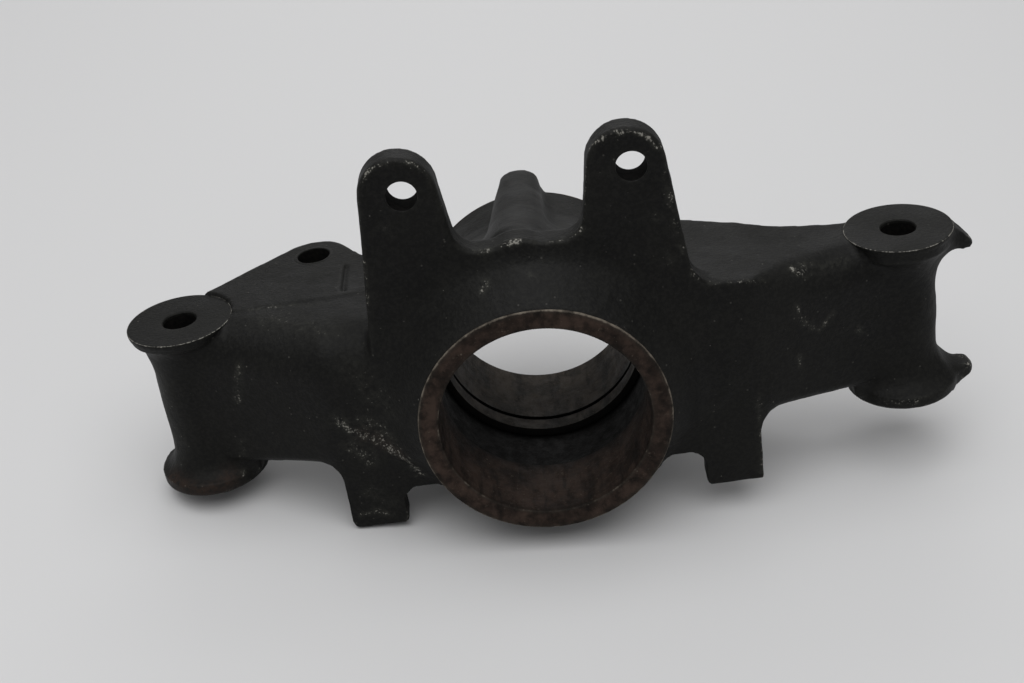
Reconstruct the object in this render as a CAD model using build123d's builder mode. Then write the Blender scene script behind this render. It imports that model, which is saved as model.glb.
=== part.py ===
from build123d import *
from math import cos, pi, radians, sin, sqrt
import os

os.makedirs("parts", exist_ok=True)

# Steering knuckle cast in one piece.
# X runs along the two pivot bosses, Y along the wheel-bearing bore, Z up through the caliper ears.
# The origin is the centre of the bore in the outer face of the hub.  All sizes in millimetres.

# --- hub and bore -------------------------------------------------------------------------
hub_length = 94.0
seat_radius = 36.0
hub_wall = 7.0
hub_radius = seat_radius + hub_wall
outer_seat_length = 29.0
inner_seat_length = 40.5
inner_seat_start = hub_length - inner_seat_length
relief_depth = 2.3
relief_radius = seat_radius + relief_depth
groove_start = inner_seat_start + 6.5
groove_width = 2.0
groove_radius = seat_radius + 1.6
bore_chamfer = 0.6
hub_edge = 0.7

# --- front plate: ears, collar and feet ---------------------------------------------------
plate_front = 15.0
plate_thickness = 10.0
plate_back = plate_front + plate_thickness
flare_rise = 12.2
flare_radius = hub_radius + flare_rise
flare_blend = 5.0
collar_wall = 7.5
collar_radius = hub_radius + collar_wall
back_cone_top = hub_radius + 13.0
cone_end = 72.0

ear_end_radius = 13.0
ear_height = 82.6
ear_hole_height = 82.2
ear_hole_radius = 5.25
left_ear_x = -37.4
right_ear_x = 36.6
left_hole_x = left_ear_x + 1.5
right_hole_x = right_ear_x + 1.7
left_ear_outer_root = (-57.3, 11.0)
left_ear_inner_root = (-20.2, 52.0)
right_ear_outer_root = (55.6, 28.0)
right_ear_inner_root = (19.0, 52.0)
ear_core_x = 53.0
ear_core_z = 45.0
valley_height = 59.4
valley_blend = 8.0
hump_height = 2.2
hump_x = -1.5
hump_radius = 12.2
hump_blend = 5.0
shoulder_height = 37.35
shoulder_fall = 1.75
shoulder_blend = 9.0
ear_foot_blend = 6.0
edge_wear = 1.1
back_edge = 0.8

foot_bottom = -44.6
foot_width = 20.4
left_foot_x = -(collar_radius + 13.7)
right_foot_x = collar_radius + 12.7
foot_front = plate_front + 1.0
foot_corner = 2.5
foot_edge = 0.6
arch_height = -30.0
arch_blend = 5.5
collar_blend = 4.0
gusset_radius = 7.5
facet_tilt = 44.0
facet_slope = 42.0
facet_x = 71.0
facet_z = -1.8

# --- arms ---------------------------------------------------------------------------------
boss_y = 48.0
left_boss_x = -125.6
right_boss_x = 129.1
arm_root_x = 40.0
arm_bend_x = 74.0
arm_front = plate_front + 0.05
arm_bottom = -18.1
arm_drop = 5.0
arm_bevel = 3.0
waist_radius = 13.0
arm_back = boss_y + waist_radius - 0.2
arm_back_bulge = 3.7
arm_root_back = 72.0
right_arm_top = 35.5
right_arm_fall = 5.1
right_arm_root_top = 38.6
left_arm_fall = 2.0

# --- pivot bosses -------------------------------------------------------------------------
boss_top = 31.8
boss_bottom = -31.4
boss_hole_radius = 6.0
top_flange_radius = 18.9
bottom_flange_radius = 19.9
bottom_rim = 5.0
left_rim = 3.8
right_rim = 5.8
rim_taper = 0.8
rim_edge = 0.5
bottom_rim_edge = 1.2
waist_top = 13.5
waist_bottom = -15.0
beak_reach = 25.8
beak_tip = 2.0
upper_beak_depth = 10.2
lower_beak_depth = 6.8

# --- steering arm -------------------------------------------------------------------------
pad_height = 33.0
arm_top = pad_height - 0.4
steer_hole_x = -80.1
steer_hole_y = 84.2
steer_end_radius = 13.4
steer_thickness = 18.0
steer_hole_radius = 6.0
steer_edge = 1.2
pad_boss_reach = 13.6
pad_boss_radius = 11.1
pad_root_x = -56.2
pad_root_radius = 10.0
pocket_edge_x = -67.0
pocket_start_y = 54.0
pocket_depth = 1.0

# --- rib on top of the barrel -------------------------------------------------------------
rib_back_height = 51.7
rib_back_radius = 6.6
rib_front_radius = 10.4
rib_back_foot = 11.0
rib_front_foot = 14.5


def front_plane(depth):
    """Plane facing the front of the casting, set back by depth; a negative extrusion goes in."""
    return Plane(origin=(0, depth, 0), x_dir=(1, 0, 0), z_dir=(0, -1, 0))


def arm_section(x, front, back, bottom, top, front_top_r, bevel):
    """Outline of an arm in the plane across it at x: one rounded edge and three bevelled ones."""
    plane = Plane(origin=(x, 0, 0), x_dir=(0, 1, 0), z_dir=(1, 0, 0))
    with BuildSketch(plane) as outline:
        with BuildLine():
            Polyline((front, bottom), (back, bottom), (back, top), (front, top), close=True)
        make_face()
        corners = outline.vertices().sort_by_distance((front, top, 0))
        chamfer(corners[1:], bevel)
        fillet(outline.vertices().sort_by_distance((front, top, 0))[0], front_top_r)
    return outline.sketch


def arm(side, boss_x, root_top, bend_top, top_fall, root_round, stations):
    """Beam from inside the hub to a boss.  Each station is given in shares of the way from the bend to the
    boss: how far along it is, how far its front has leaned back, how far its underside and its top have
    come down, and how round its upper front edge is, in waist radii."""
    lean = boss_y - waist_radius - arm_front
    bend = side * arm_bend_x
    with BuildPart() as beam:
        root = arm_section(
            side * arm_root_x, arm_front, arm_root_back, arm_bottom + arm_drop / 10, root_top, root_round, arm_bevel)
        start = arm_section(
            bend, arm_front, arm_back + arm_back_bulge, arm_bottom, bend_top, max(root_round, 2.8), arm_bevel)
        add(root)
        add(start)
        loft(ruled=True)
        add(start)
        for along, leaned, dropped, fallen, roundness in stations:
            add(arm_section(
                bend + along * (boss_x - bend), arm_front + leaned * lean, arm_back,
                arm_bottom - dropped * arm_drop, bend_top - fallen * top_fall,
                roundness * waist_radius, arm_bevel))
        loft()
    return beam.part


def hollow(start, end, steps):
    """Points of a quarter ellipse from start, where it is level, to end, where it is upright."""
    width, rise = end[0] - start[0], end[1] - start[1]
    angles = [pi / 2 * step / steps for step in range(1, steps)]
    return [(start[0] + width * sin(a), start[1] + rise * (1 - cos(a))) for a in angles]


def spool(rim, waist):
    """Boss turned about its own hole: flanges top and bottom, hollowed in to the waist between them."""
    upper = (top_flange_radius - rim_taper, boss_top - rim)
    lower = (bottom_flange_radius, boss_bottom + bottom_rim)
    with BuildPart() as boss:
        with BuildSketch(Plane.XZ):
            with BuildLine():
                Polyline(
                    (0, boss_bottom), (bottom_flange_radius - bottom_rim_edge, boss_bottom),
                    (bottom_flange_radius, boss_bottom + bottom_rim_edge), lower,
                    *hollow(lower, (waist, waist_bottom), 4), (waist, waist_bottom),
                    (waist, waist_top), *reversed(hollow(upper, (waist, waist_top), 4)), upper,
                    (top_flange_radius, boss_top - rim_edge), (top_flange_radius - rim_edge, boss_top),
                    (0, boss_top), close=True,
                )
            make_face()
        revolve(axis=Axis.Z)
    return boss.part


# Hub: a turned barrel that widens towards the plate.
with BuildPart() as hub:
    with BuildSketch(Plane.XY):
        with BuildLine():
            Polyline(
                (0, 0), (hub_radius - hub_edge, 0), (hub_radius, hub_edge), (hub_radius, plate_front + 1),
                (collar_radius, plate_front + 1), (collar_radius, plate_back - 1), (hub_radius, cone_end),
                (hub_radius, hub_length - hub_edge), (hub_radius - hub_edge, hub_length), (0, hub_length), close=True,
            )
        make_face()
    revolve(axis=Axis.Y)

# The upper half of the barrel is thickened towards the plate.
with BuildPart() as hub_top:
    with BuildSketch(Plane.XY):
        with BuildLine():
            Polyline(
                (seat_radius - 6, plate_front + 2), (back_cone_top, plate_front + 2), (back_cone_top, plate_back - 1),
                (hub_radius + 1, cone_end - 6), (hub_radius - 1, cone_end + 12), (seat_radius - 6, cone_end), close=True,
            )
        make_face()
    revolve(axis=Axis.Y, revolution_arc=-180)

# Arms: beams whose front faces lean back from the plate to the waists of the bosses.
right_arm = arm(1, right_boss_x, right_arm_root_top, right_arm_top, right_arm_fall, 1.5, (
    (0.27, 0.35, 0.20, 0.37, 0.81), (0.54, 0.69, 0.68, 0.69, 1.0), (0.78, 0.94, 0.92, 0.84, 1.0), (1.0, 1.02, 1.0, 1.0, 0.92),
))
left_arm = arm(-1, left_boss_x, arm_top, arm_top, left_arm_fall, 17.0, (
    (0.29, 0.35, 0.20, 0.0, 1.34), (0.56, 0.68, 0.60, 0.0, 1.27), (0.80, 0.92, 0.88, 0.4, 1.08), (1.0, 1.0, 1.0, 1.0, 0.92),
))

# Front plate: two ears with a saddle between them, the collar round the hub and two feet.
left_foot_out = left_foot_x - foot_width / 2
left_foot_in = left_foot_x + foot_width / 2
right_foot_in = right_foot_x - foot_width / 2
right_foot_out = right_foot_x + foot_width / 2
hump_half = sqrt(hump_radius**2 - (hump_radius - hump_height) ** 2)
collar_half = sqrt(collar_radius**2 - arch_height**2)

with BuildPart() as plate:
    with BuildSketch(front_plane(plate_front)) as front_outline:
        for ear_x, outer_root, inner_root in (
            (left_ear_x, left_ear_outer_root, left_ear_inner_root),
            (right_ear_x, right_ear_outer_root, right_ear_inner_root),
        ):
            with BuildSketch(front_plane(plate_front), mode=Mode.PRIVATE) as ear:
                with Locations((ear_x, ear_height)):
                    Circle(ear_end_radius)
                with Locations(outer_root, inner_root):
                    Circle(0.3)
                make_hull()
            add(ear.sketch)
        with BuildLine():
            Polyline(
                (-ear_core_x, ear_core_z), (left_ear_inner_root[0] - 10, valley_height),
                (right_ear_inner_root[0] + 10, valley_height), (ear_core_x, ear_core_z),
                (ear_core_x, shoulder_height), (right_foot_out - 1, shoulder_height - shoulder_fall),
                (right_foot_out, 0), (right_foot_out, foot_bottom), (right_foot_in, foot_bottom),
                (right_foot_in, arch_height), (left_foot_in, arch_height), (left_foot_in, foot_bottom),
                (left_foot_out, foot_bottom), (left_foot_out, left_ear_outer_root[1] - 1),
                (-ear_core_x, left_ear_outer_root[1] + 9), close=True,
            )
        make_face()
        with Locations((hump_x, valley_height + hump_height - hump_radius)):
            Circle(hump_radius)
        Circle(collar_radius)

        def corner(x, z):
            """Vertex of the outline closest to a given place."""
            return front_outline.vertices().sort_by_distance((x, z, 0))[0]

        fillet([corner(left_ear_inner_root[0], valley_height), corner(right_ear_inner_root[0], valley_height)], valley_blend)
        fillet([corner(hump_x - hump_half, valley_height), corner(hump_x + hump_half, valley_height)], hump_blend)
        fillet(corner(right_ear_outer_root[0], shoulder_height), shoulder_blend)
        fillet(corner(left_ear_outer_root[0] + 0.7, left_ear_outer_root[1] + 7.3), ear_foot_blend)
        fillet([corner(left_foot_in, arch_height), corner(right_foot_in, arch_height)], arch_blend)
        fillet([corner(-collar_half, arch_height), corner(collar_half, arch_height)], collar_blend)
        fillet([corner(left_foot_in, foot_bottom), corner(left_foot_out, foot_bottom)], foot_corner)
        fillet(corner(right_foot_in, foot_bottom), foot_corner)
        fillet(corner(right_foot_out, foot_bottom), foot_corner / 2.5)
    extrude(amount=-plate_thickness)
    front_edges = plate.faces().sort_by(Axis.Y)[0].edges()
    chamfer([e for e in front_edges if e.center().Z > shoulder_height + 1.5], edge_wear)
    back_edges = plate.faces().sort_by(Axis.Y)[-1].edges()
    chamfer([e for e in back_edges if e.center().Z > shoulder_height + 1.5], back_edge)
    back_edges = plate.faces().sort_by(Axis.Y)[-1].edges()
    chamfer([e for e in back_edges if e.center().Z < arch_height + 6], foot_edge)

# Flare: the cone that grows out of the plate round the mouth of the bore.
with BuildPart() as flare:
    with BuildSketch(Plane.XY) as cone:
        with BuildLine():
            Polyline(
                (0, hub_edge), (hub_radius + 0.4, hub_edge), (flare_radius, plate_front),
                (flare_radius + 14, plate_front), (flare_radius + 14, plate_front + 1),
                (0, plate_front + 1), close=True,
            )
        make_face()
        chamfer(cone.vertices().sort_by_distance((flare_radius, plate_front, 0))[0], flare_blend / 2)
    revolve(axis=Axis.Y)
    with BuildSketch(front_plane(0)):
        with BuildLine():
            Polyline(
                (1 - ear_core_x, ear_core_z), (left_ear_inner_root[0] - 6, valley_height - edge_wear),
                (right_ear_inner_root[0] + 7, valley_height - edge_wear), (ear_core_x - 1, ear_core_z),
                (right_foot_out - 1, arch_height + 60), (right_foot_out - 1, arch_height + 6),
                (left_foot_out + 1, arch_height + 6), (left_foot_out + 1, left_ear_outer_root[1] - 1),
                (-ear_core_x - 1, left_ear_outer_root[1] + 7), close=True,
            )
        make_face()
    extrude(amount=-2 * plate_front, mode=Mode.INTERSECT)

# Steering arm: a flat pad that tapers from the left arm to an eye behind it.
with BuildPart() as steering_arm:
    with BuildSketch(Plane.XY.offset(pad_height)):
        with Locations((steer_hole_x, steer_hole_y)):
            Circle(steer_end_radius)
        with Locations((left_boss_x + pad_boss_reach, boss_y + pad_boss_radius - 1.6)):
            Circle(pad_boss_radius)
        with Locations((pad_root_x, boss_y + pad_root_radius + 0.4)):
            Circle(pad_root_radius)
        make_hull()
    extrude(amount=-steer_thickness)
    chamfer(steering_arm.faces().sort_by(Axis.Z)[-1].edges(), steer_edge)
    chamfer(steering_arm.faces().sort_by(Axis.Z)[0].edges(), steer_edge)

# Rib: a round bead along the top of the barrel, on two flanks, that ends as the hump of the saddle.
rib_front = Vector(hump_x, plate_front + 4, valley_height + hump_height - 1 - rib_front_radius)
rib_back = Vector(0, hub_length, rib_back_height - rib_back_radius)
rib_run = rib_back - rib_front

with BuildPart() as rib:
    with Locations(Plane(origin=rib_front, z_dir=rib_run)):
        Cone(rib_front_radius, rib_back_radius, rib_run.length, align=(Align.CENTER, Align.CENTER, Align.MIN))
    for place, half_width, foot in (
        (rib_back, rib_back_radius, rib_back_foot), (rib_front, rib_front_radius, rib_front_foot),
    ):
        with BuildSketch(front_plane(place.Y)):
            with BuildLine():
                Polyline(
                    (place.X - foot, hub_radius - 7), (place.X + foot, hub_radius - 7),
                    (place.X + 0.96 * half_width, place.Z + 0.2 * half_width),
                    (place.X - 0.96 * half_width, place.Z + 0.2 * half_width), close=True,
                )
            make_face()
    loft(ruled=True)
    with Locations((0, hub_length, rib_back_height)):
        Box(60, 20, 60, align=(Align.CENTER, Align.MIN, Align.CENTER), mode=Mode.SUBTRACT)


# Stops: a beak at each end of the right boss, on its far side.
def beak(rim_radius, root_angle, tip_half_width, side_view):
    """Beak on the boss axis: its plan narrows to the tip, and its height at each radius follows side_view."""
    root_x, root_y = rim_radius * cos(radians(root_angle)), rim_radius * sin(radians(root_angle))
    tip_x = beak_reach - beak_tip
    mid_x, mid_y = (root_x + tip_x) / 2 - 0.9, (root_y + tip_half_width) / 2 - 0.9
    with BuildPart() as body:
        with BuildSketch(Plane.XY.offset(boss_bottom - 5)):
            with BuildLine():
                Polyline((root_x, root_y), (0, root_y), (0, -root_y), (root_x, -root_y))
                ThreePointArc((root_x, -root_y), (mid_x, -mid_y), (tip_x, -tip_half_width))
                ThreePointArc((tip_x, -tip_half_width), (beak_reach, 0), (tip_x, tip_half_width))
                ThreePointArc((tip_x, tip_half_width), (mid_x, mid_y), (root_x, root_y))
            make_face()
        extrude(amount=boss_top - boss_bottom + 10)
        with BuildSketch(Plane.XZ):
            with BuildLine():
                Polyline(*side_view, close=True)
            make_face()
        extrude(amount=2 * root_y, both=True, mode=Mode.INTERSECT)
    return body.part


beak_out = beak_reach + 0.7
upper_under = boss_top - upper_beak_depth
lower_over = boss_bottom + lower_beak_depth
upper_beak = beak(top_flange_radius, 22.0, 3.2, (
    (0, boss_top - rim_taper), (top_flange_radius, boss_top - rim_taper), (beak_reach - 3.2, upper_under + 5.6),
    (beak_reach - 0.9, upper_under + 2.7), (beak_out, upper_under + 1.0), (beak_out - 1.5, upper_under),
    (waist_radius + 3.5, upper_under), (waist_radius + 1.2, upper_under - 2), (waist_radius - 0.5, upper_under - 6.6),
    (0, upper_under - 6.6),
))
lower_beak = beak(bottom_flange_radius, 33.0, 3.8, (
    (0, boss_bottom), (bottom_flange_radius, boss_bottom), (beak_reach - 0.4, lower_over - 4.8),
    (beak_out, lower_over - 2.6), (beak_out - 2.5, lower_over), (bottom_flange_radius - 1.4, lower_over),
    (waist_radius + 2.5, lower_over + 2.1), (waist_radius + 0.2, lower_over + 6.6), (0, lower_over + 6.6),
))

# Below two slanting facets the feet stand a little behind the rest of the plate.
with BuildPart() as below_facets:
    slope, tilt = radians(facet_slope), radians(facet_tilt)
    for side in (-1, 1):
        along = (-side * cos(slope), 0, -sin(slope))
        outward = (side * sin(slope) * cos(tilt), -sin(tilt), -cos(slope) * cos(tilt))
        with Locations(Plane(origin=(side * facet_x, foot_front, facet_z), x_dir=along, z_dir=outward)):
            Box(250, 120, 80, align=(Align.CENTER, Align.CENTER, Align.MIN))
    with Locations((0, foot_front, arch_height - 10)):
        Box(2 * (arm_bend_x + 3), 100, 120, align=(Align.CENTER, Align.MAX, Align.CENTER), mode=Mode.INTERSECT)


# Gussets: a hollow round in the corner between the outer side of each foot and the arm over it.
def gusset(foot_side, outward):
    """Strips across the arm whose undersides follow a quarter circle from the foot to the arm."""
    top = arm_bottom + gusset_radius + 1.5
    back_front = foot_front + 0.1
    with BuildPart() as body:
        add(arm_section(foot_side - 1.5 * outward, back_front, plate_back, arm_bottom - gusset_radius, top, 1.0, 2.0))
        for angle in (0, 30, 60, 90):
            reach = gusset_radius * (1 - cos(radians(angle)))
            drop = gusset_radius * (1 - sin(radians(angle)))
            front = max(back_front, arm_front + 0.6 + 0.5 * reach)
            add(arm_section(foot_side + reach * outward, front, plate_back, arm_bottom + 0.1 - drop, top, 1.0, 2.0))
        loft(ruled=True)
    return body.part


with BuildPart() as knuckle:
    add(plate.part)
    add(right_arm)
    add(left_arm)
    add(flare.part)
    add(below_facets.part, mode=Mode.SUBTRACT)
    add(hub.part)
    add(hub_top.part)
    add(gusset(left_foot_out, -1))
    add(gusset(right_foot_out, 1))
    add(steering_arm.part)
    add(rib.part)
    with Locations((left_boss_x, boss_y, 0)):
        add(spool(left_rim, waist_radius + 0.3))
    with Locations((right_boss_x, boss_y, 0)):
        add(spool(right_rim, waist_radius - 0.2))
        add(upper_beak)
        add(lower_beak)
    # Spot face that levels the steering pad down to the top of the left boss.
    with Locations((left_boss_x, boss_y, boss_top)):
        Cylinder(top_flange_radius, 5, align=(Align.CENTER, Align.CENTER, Align.MIN), mode=Mode.SUBTRACT)
    # Shallow pocket on the pad beside the plate.
    with Locations((pocket_edge_x, pocket_start_y, pad_height)):
        Box(30, 50, 2 * pocket_depth, align=(Align.MIN, Align.MIN, Align.CENTER), mode=Mode.SUBTRACT)
    # Bore of the hub, relieved between the two bearing seats, with a snap-ring groove in the inner one.
    with BuildSketch(Plane.XY):
        with BuildLine():
            Polyline(
                (0, -1), (seat_radius + bore_chamfer, -1), (seat_radius + bore_chamfer, 0), (seat_radius, bore_chamfer),
                (seat_radius, outer_seat_length), (relief_radius, outer_seat_length + 1.0),
                (relief_radius, inner_seat_start - 0.8), (seat_radius, inner_seat_start),
                (seat_radius, groove_start), (groove_radius, groove_start),
                (groove_radius, groove_start + groove_width), (seat_radius, groove_start + groove_width),
                (seat_radius, hub_length - bore_chamfer), (seat_radius + bore_chamfer, hub_length),
                (seat_radius + bore_chamfer, hub_length + 1), (0, hub_length + 1), close=True,
            )
        make_face()
    revolve(axis=Axis.Y, mode=Mode.SUBTRACT)
    # Through holes: both bosses, the steering eye and both ears.
    with Locations((left_boss_x, boss_y, 0), (right_boss_x, boss_y, 0)):
        Cylinder(boss_hole_radius, 2 * boss_top + 10, mode=Mode.SUBTRACT)
    with Locations((steer_hole_x, steer_hole_y, pad_height - steer_thickness / 2)):
        Cylinder(steer_hole_radius, steer_thickness + 10, mode=Mode.SUBTRACT)
    with BuildSketch(front_plane(plate_front - 1)):
        with Locations((left_hole_x, ear_hole_height), (right_hole_x, ear_hole_height)):
            Circle(ear_hole_radius)
    extrude(amount=-(plate_thickness + 2), mode=Mode.SUBTRACT)

knuckle.part.label = "knuckle"
export_step(knuckle.part, "parts/knuckle.step")
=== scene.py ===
# %% [markdown]
# # Steering knuckle
#
# One iron casting, painted black, with machined places: the face round the bore, the two bearing seats,
# the ends of the pivot bosses and the drilled holes.  The solid model carries every size, so this lesson
# starts from it, softens it into a sand casting, and lays thin turned linings over the machined places.

# %% Load the frame
import itertools

import bmesh
import bpy
import numpy as np
from mathutils import Matrix, Vector


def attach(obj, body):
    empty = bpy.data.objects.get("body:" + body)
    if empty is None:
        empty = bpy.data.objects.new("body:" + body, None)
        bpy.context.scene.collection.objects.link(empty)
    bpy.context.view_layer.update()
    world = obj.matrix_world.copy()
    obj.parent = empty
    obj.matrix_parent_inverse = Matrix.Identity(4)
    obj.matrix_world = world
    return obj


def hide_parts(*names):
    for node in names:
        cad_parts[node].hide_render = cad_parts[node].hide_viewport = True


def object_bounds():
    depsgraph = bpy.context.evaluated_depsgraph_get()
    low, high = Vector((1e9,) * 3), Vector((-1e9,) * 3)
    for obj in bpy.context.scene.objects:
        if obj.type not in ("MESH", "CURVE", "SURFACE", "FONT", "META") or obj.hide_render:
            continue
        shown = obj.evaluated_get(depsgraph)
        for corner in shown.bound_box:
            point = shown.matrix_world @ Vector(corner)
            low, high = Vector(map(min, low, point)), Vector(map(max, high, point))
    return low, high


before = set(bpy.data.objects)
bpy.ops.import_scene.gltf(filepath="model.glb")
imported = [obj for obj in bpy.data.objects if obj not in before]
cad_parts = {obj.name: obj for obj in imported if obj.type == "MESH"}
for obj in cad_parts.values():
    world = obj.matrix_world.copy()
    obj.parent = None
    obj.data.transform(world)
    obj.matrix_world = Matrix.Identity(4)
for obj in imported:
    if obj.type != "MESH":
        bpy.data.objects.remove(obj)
solid_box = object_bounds()
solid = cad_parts["knuckle"]
MM = 0.001
print("solid box", solid_box)

# %% [markdown]
# ## Camera
#
# A camera could be aimed with a Track To constraint, but this one is also rolled a little, so its three
# axes are written as the columns of a turning matrix: right, up, and backwards from what it looks at.

# %% Camera
CAMERA_RIGHT = (0.99075, -0.01847, -0.13441)
CAMERA_UP = (0.12621, 0.48906, 0.86307)
CAMERA_PLACE = (19.74, -468.99, 294.67)
FOCAL_LENGTH, SENSOR_WIDTH = 58.0, 36.0

right, up = Vector(CAMERA_RIGHT), Vector(CAMERA_UP)
back = right.cross(up).normalized()
up = back.cross(right).normalized()
turn = Matrix((right.normalized(), up, back)).transposed().to_4x4()

camera = bpy.data.objects.new("camera", bpy.data.cameras.new("camera"))
bpy.context.scene.collection.objects.link(camera)
camera.matrix_world = Matrix.Translation(Vector(CAMERA_PLACE) * MM) @ turn
camera.data.lens = FOCAL_LENGTH
camera.data.sensor_width = SENSOR_WIDTH
camera.data.clip_start = 0.02
bpy.context.scene.camera = camera
print("camera looks along", [round(v, 3) for v in -back])

# %% [markdown]
# ## Light
#
# The part lies in soft light on a pale card.  A small sun would draw hard shadows, so one wide lamp hangs
# overhead and a little in front, a weak one stands behind to lift the tops, and a dim white world keeps
# the dark faces from going black.

# %% Lamps
def soft_lamp(name, place, aim, size, power):
    """A square area lamp of that size in metres, turned to face a point."""
    lamp = bpy.data.lights.new(name, "AREA")
    lamp.size = size
    lamp.energy = power
    holder = bpy.data.objects.new(name, lamp)
    holder.location = place
    holder.rotation_euler = (Vector(aim) - Vector(place)).to_track_quat("-Z", "Y").to_euler()
    bpy.context.scene.collection.objects.link(holder)


soft_lamp("overhead_lamp", place=(0.05, -0.36, 1.5), aim=(0, 0.05, 0), size=2.0, power=24)
soft_lamp("back_lamp", place=(0.1, 1.3, 0.85), aim=(0, 0, 0), size=1.0, power=3.0)

WORLD_STRENGTH = 0.355
world = bpy.data.worlds.new("room")
world.use_nodes = True
background = world.node_tree.nodes["Background"]
background.inputs["Color"].default_value = (1, 1, 1, 1)
background.inputs["Strength"].default_value = WORLD_STRENGTH
bpy.context.scene.world = world
bpy.context.scene.view_settings.view_transform = "Standard"
print("lamps", [thing.name for thing in bpy.data.lights], "world", WORLD_STRENGTH)

# %% [markdown]
# ## The casting
#
# A sand casting has no sharp edge and no sharp inner corner.  Bevels on a mesh this tangled would break,
# so the solid is copied, merged and rebuilt as an even net of small squares with a voxel remesh.  The two
# short webs under the arms are plain blocks here; the remesh joins them to the rest in one skin.

# %% Even net over the solid
NET = 0.8 * MM

# Below each arm a short web runs down on to the boss's lower flange: middle and size, in millimetres.
WEBS = (((-114.5, 47.7, -22), (16, 24.6, 12)), ((117.7, 47.7, -22), (16, 24.6, 12)))


def even_net(source, name):
    """A merged copy of source with the webs, remeshed into squares about NET across."""
    mesh = source.data.copy()
    shell = bmesh.new()
    shell.from_mesh(mesh)
    bmesh.ops.remove_doubles(shell, verts=shell.verts, dist=2e-6)
    for middle, size in WEBS:
        stretch = Matrix.Diagonal((*(Vector(size) * MM), 1))
        bmesh.ops.create_cube(shell, size=1, matrix=Matrix.Translation(Vector(middle) * MM) @ stretch)
    shell.to_mesh(mesh)
    shell.free()
    made = bpy.data.objects.new(name, mesh)
    bpy.context.scene.collection.objects.link(made)
    remesh = made.modifiers.new("net", "REMESH")
    remesh.mode = "VOXEL"
    remesh.voxel_size = NET
    graph = bpy.context.evaluated_depsgraph_get()
    net = bpy.data.meshes.new_from_object(made.evaluated_get(graph))
    made.modifiers.clear()
    made.data = net
    net.name = name
    net.materials.clear()
    return made


casting = even_net(solid, "casting")
print("net", len(casting.data.vertices), "points", len(casting.data.polygons), "faces")

# %% [markdown]
# ## The net as arrays
#
# Iron runs into the mould as one skin, and the softening moves every point of that skin many times.  A
# Smooth modifier could do it, but not with a different strength at each point, so the points and edges are
# taken out as numpy arrays.  pull gives the way from each point to the middle of its neighbours.

# %% Working on the net
def net_arrays(mesh):
    """Points in millimetres, edge ends, and how many edges meet at each point."""
    points = np.empty(len(mesh.vertices) * 3)
    mesh.vertices.foreach_get("co", points)
    edges = np.empty(len(mesh.edges) * 2, dtype=np.int32)
    mesh.edges.foreach_get("vertices", edges)
    edges = edges.reshape(-1, 2)
    meeting = np.bincount(edges.ravel(), minlength=len(mesh.vertices))
    return points.reshape(-1, 3) / MM, edges, np.maximum(meeting, 1)


def put_points(mesh, points):
    """Write the points back, in metres."""
    mesh.vertices.foreach_set("co", (points * MM).ravel())
    mesh.update()


def point_normals(mesh, points):
    """Outward direction at each point, from the mesh itself."""
    put_points(mesh, points)
    found = np.empty(len(mesh.vertices) * 3)
    mesh.vertex_normals.foreach_get("vector", found)
    return found.reshape(-1, 3)


def neighbour_total(value, edges):
    """At each point, the sum of a value over the points that an edge joins it to."""
    total = np.bincount(edges[:, 0], value[edges[:, 1]], len(value))
    return total + np.bincount(edges[:, 1], value[edges[:, 0]], len(value))


def pull(points, edges, meeting):
    """From each point to the middle of its neighbours: the mean of their places less its own."""
    total = np.stack([neighbour_total(points[:, axis], edges) for axis in range(3)], axis=1)
    return total / meeting[:, None] - points


points, edges, meeting = net_arrays(casting.data)
print("edges", len(edges))

# %% [markdown]
# ## What was machined
#
# The bore, the boss ends and the drilled holes were cut after casting, so the sand never touched them and
# they must stay true.  A vertex group painted by hand would drift from the sizes, so the mask is worked
# out from the distance to each axis: 1 on the cast skin and 0 on a cut face, with a soft step between.

# %% Machined places
BORE = (0.0, 0.0)
BOSSES = ((-125.6, 48.0), (129.1, 48.0))
STEERING_EYE = (-80.1, 84.2)
EAR_HOLES = ((-35.9, 82.2), (38.3, 82.2))
EAR_BACK = 30

# Distances from each axis in millimetres: all machined nearer than the first, all cast past the second.
BORE_EDGE, BOLT_EDGE, EYE_EDGE, EAR_EDGE = (40.5, 43.5), (7.5, 10.5), (7.5, 10.0), (6.5, 8.5)


def ramp(value, low, high):
    """0 below low, 1 above high, and 3t^2 - 2t^3 between."""
    t = np.clip((value - low) / (high - low), 0, 1)
    return t * t * (3 - 2 * t)


def from_axis(points, centre, axes):
    """Distance of each point from a line through centre; axes are the two directions across the line."""
    return np.hypot(points[:, axes[0]] - centre[0], points[:, axes[1]] - centre[1])


def machined_mask(points):
    """1 on the cast skin, falling to 0 within 3 mm of a bore or drilled hole."""
    mask = ramp(from_axis(points, BORE, (0, 2)), *BORE_EDGE)
    for boss in BOSSES:
        mask = mask * ramp(from_axis(points, boss, (0, 1)), *BOLT_EDGE)
    mask = mask * ramp(from_axis(points, STEERING_EYE, (0, 1)), *EYE_EDGE)
    for hole in EAR_HOLES:
        near = (points[:, 1] < EAR_BACK) * (1 - ramp(from_axis(points, hole, (0, 2)), *EAR_EDGE))
        mask = mask * (1 - near)
    return mask


# %% [markdown]
# ## Softening
#
# Molten iron and rammed sand both round things off.  Moving every point half way to the middle of its
# neighbours would shrink the whole part, so each such step is followed by one that pushes back a little
# further: the small steps of the net go, and the sizes stay.  The front of each arm bends in one flowing
# line, so there the points move only front to back, and more often.

# %% Soften the net
THERE_AND_BACK = (0.5, -0.52)
ARM_BEND, BEND_REACH = 74, (6, 13)
FACING_FRONT = (0.6, 0.9)
BEND_STEPS = 90


def relax(points, mask, strengths):
    """One step for each strength: point + strength * mask * pull."""
    for strength in strengths:
        points = points + (strength * mask)[:, None] * pull(points, edges, meeting)
    return points


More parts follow.
